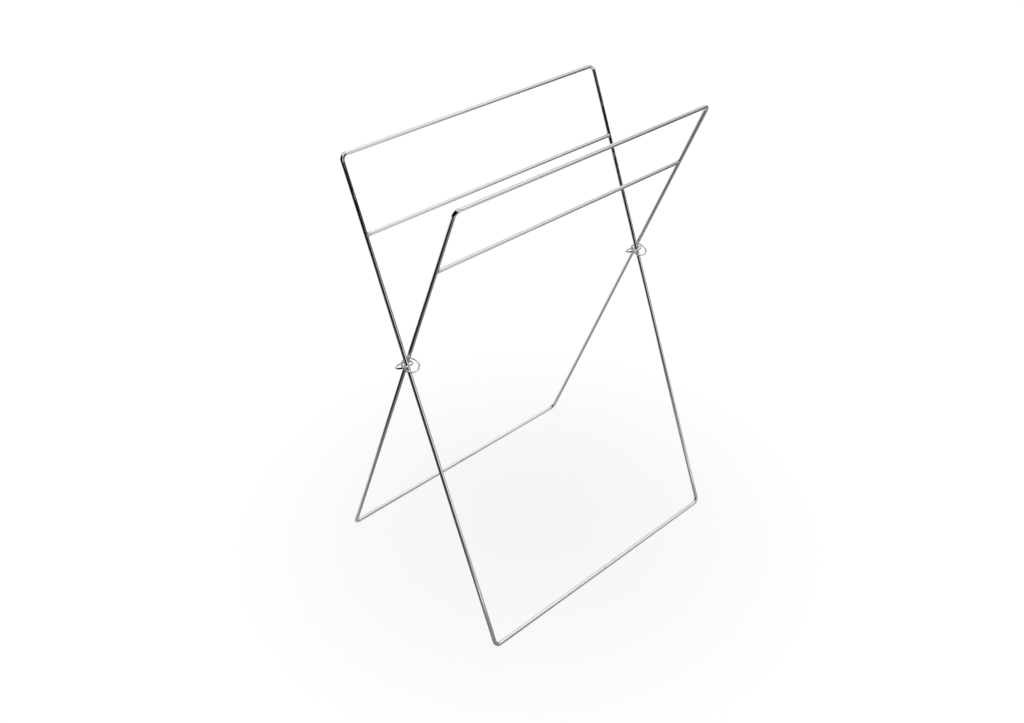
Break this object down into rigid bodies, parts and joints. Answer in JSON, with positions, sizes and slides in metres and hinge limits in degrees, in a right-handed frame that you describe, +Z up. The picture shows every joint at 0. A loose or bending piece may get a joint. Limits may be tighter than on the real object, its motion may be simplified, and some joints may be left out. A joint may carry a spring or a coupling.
{
  "type": "magazine rack",
  "caption": "Open magazine rack of bent polished wire frames crossed as an X, joined at the crossings by linked wire rings, with a cross rod below each frame's top.",
  "frame": {"origin": "middle of the floor area under the rack, below the line through its crossings", "axes": "+Z up, +X along the top rods to the right as seen from the front, -Y towards the front, so the hinge line is parallel to X"},
  "size_m": [0.3428, 0.2488, 0.4797],
  "materials": {
    "rod_chrome": "bright chrome plate on steel rod",
    "ring_chrome": "bright chrome plate on steel wire"
  },
  "bodies": {
    "back_frame": {"back_frame_rod": "rod_chrome", "back_frame_cross_rod": "rod_chrome", "back_frame_left_ring": "ring_chrome", "back_frame_right_ring": "ring_chrome"},
    "front_frame": {"front_frame_rod": "rod_chrome", "front_frame_cross_rod": "rod_chrome", "front_frame_left_ring": "ring_chrome", "front_frame_right_ring": "ring_chrome"}
  },
  "joints": [
    {"name": "crossing_hinge", "type": "hinge", "parent": "back_frame", "child": "front_frame", "pos_m": [0, 0, 0.2976], "axis": [-1, 0, 0], "range_deg": [0, 14.5]}
  ]
}
